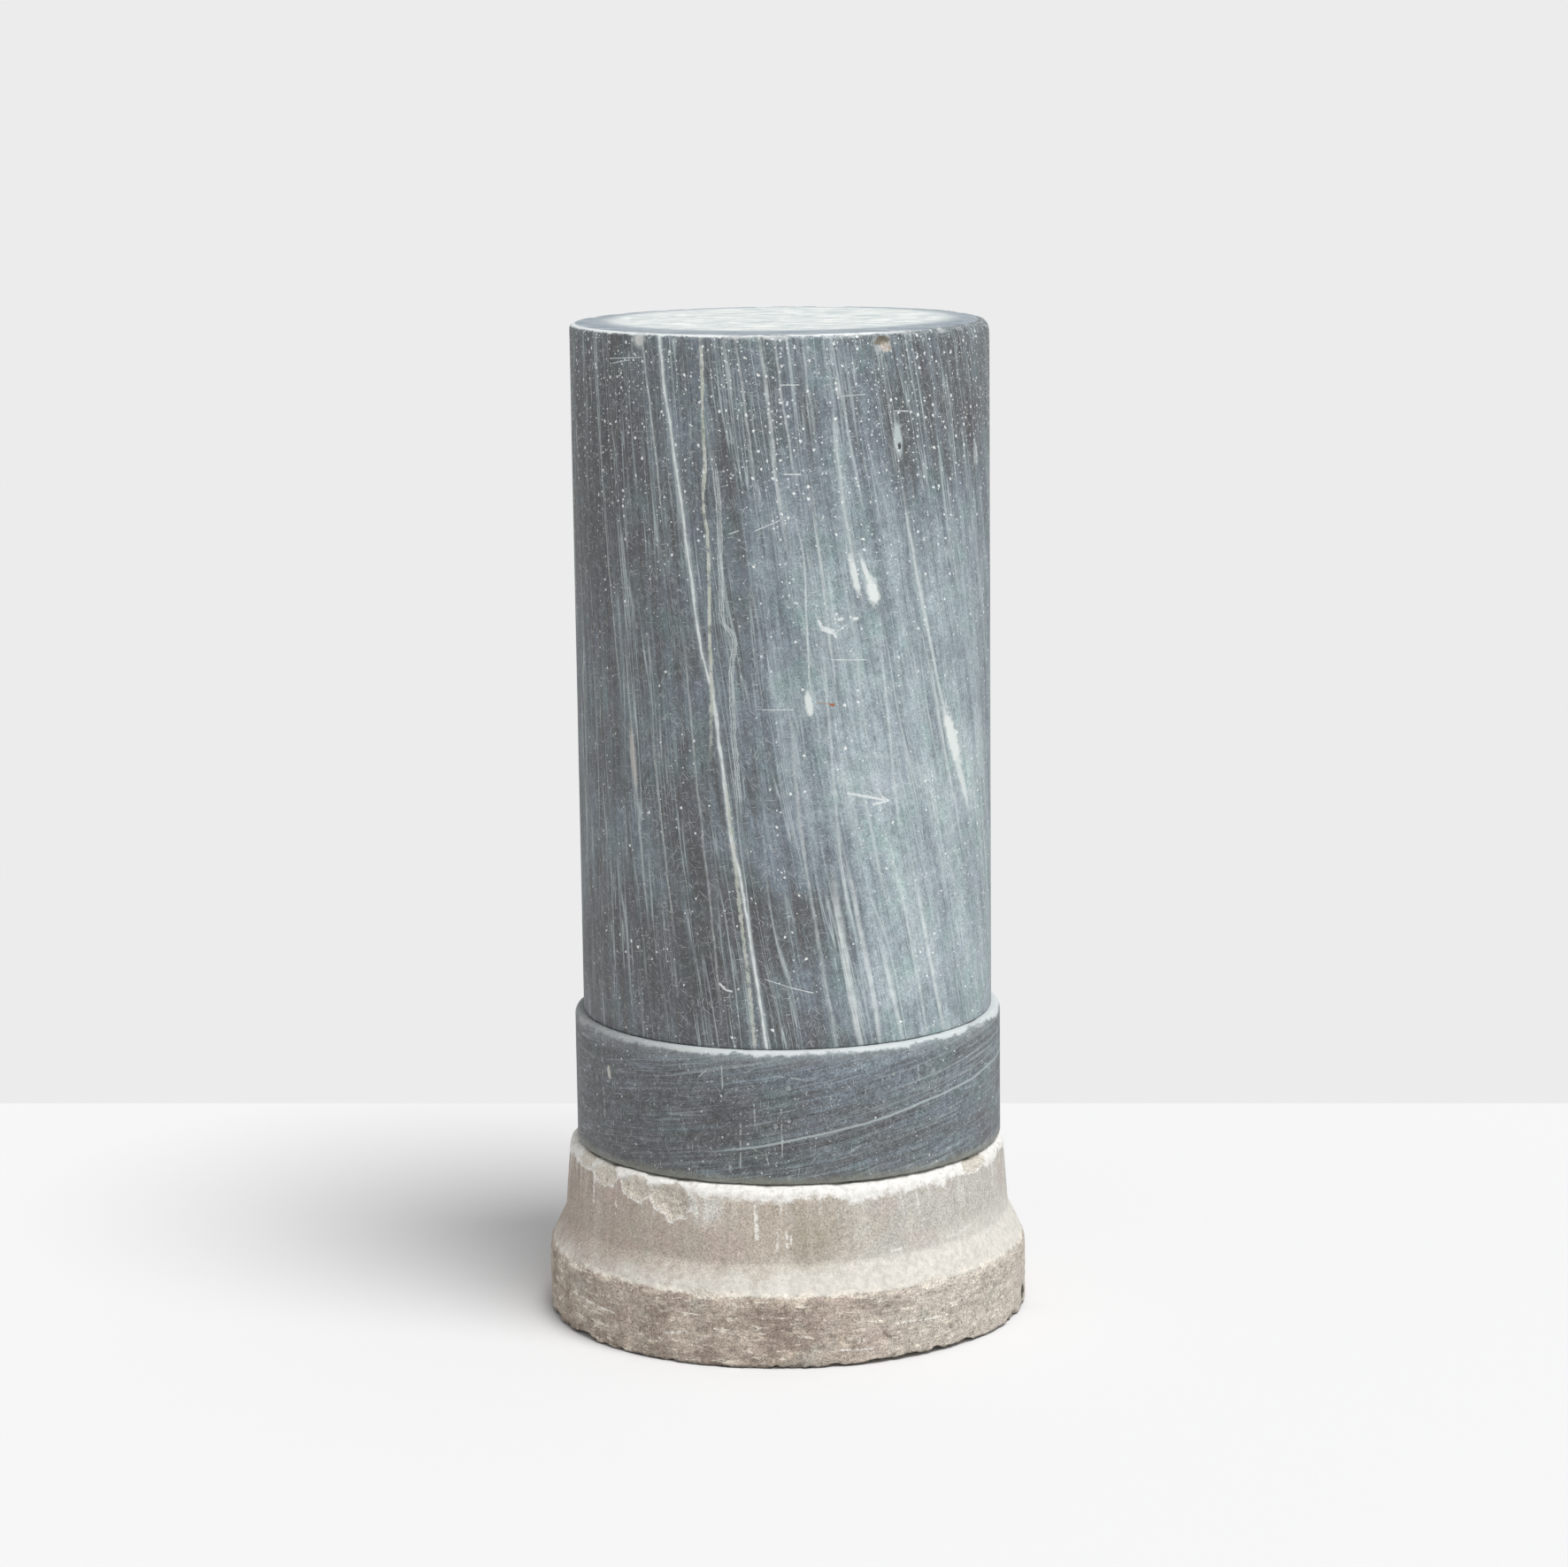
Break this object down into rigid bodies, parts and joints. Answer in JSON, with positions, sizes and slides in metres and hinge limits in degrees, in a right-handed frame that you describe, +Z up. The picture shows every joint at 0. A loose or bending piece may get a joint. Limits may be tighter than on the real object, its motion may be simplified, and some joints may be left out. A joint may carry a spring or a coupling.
{
  "type": "marble column pedestal",
  "caption": "Worn round column of stacked stones: a veined blue-grey marble shaft and collar on a turned, chipped pale limestone base.",
  "frame": {"origin": "centre of the base's underside, on the surface that the column stands on", "axes": "+Z up along the column, -Y towards the side that the picture shows, +X to that side's right"},
  "size_m": [0.445, 0.445, 0.915],
  "materials": {
    "shaft_marble": "satin",
    "collar_marble": "satin",
    "limestone": "matte"
  },
  "bodies": {
    "root": {"shaft": "shaft_marble", "collar": "collar_marble", "base": "limestone"}
  },
  "joints": []
}
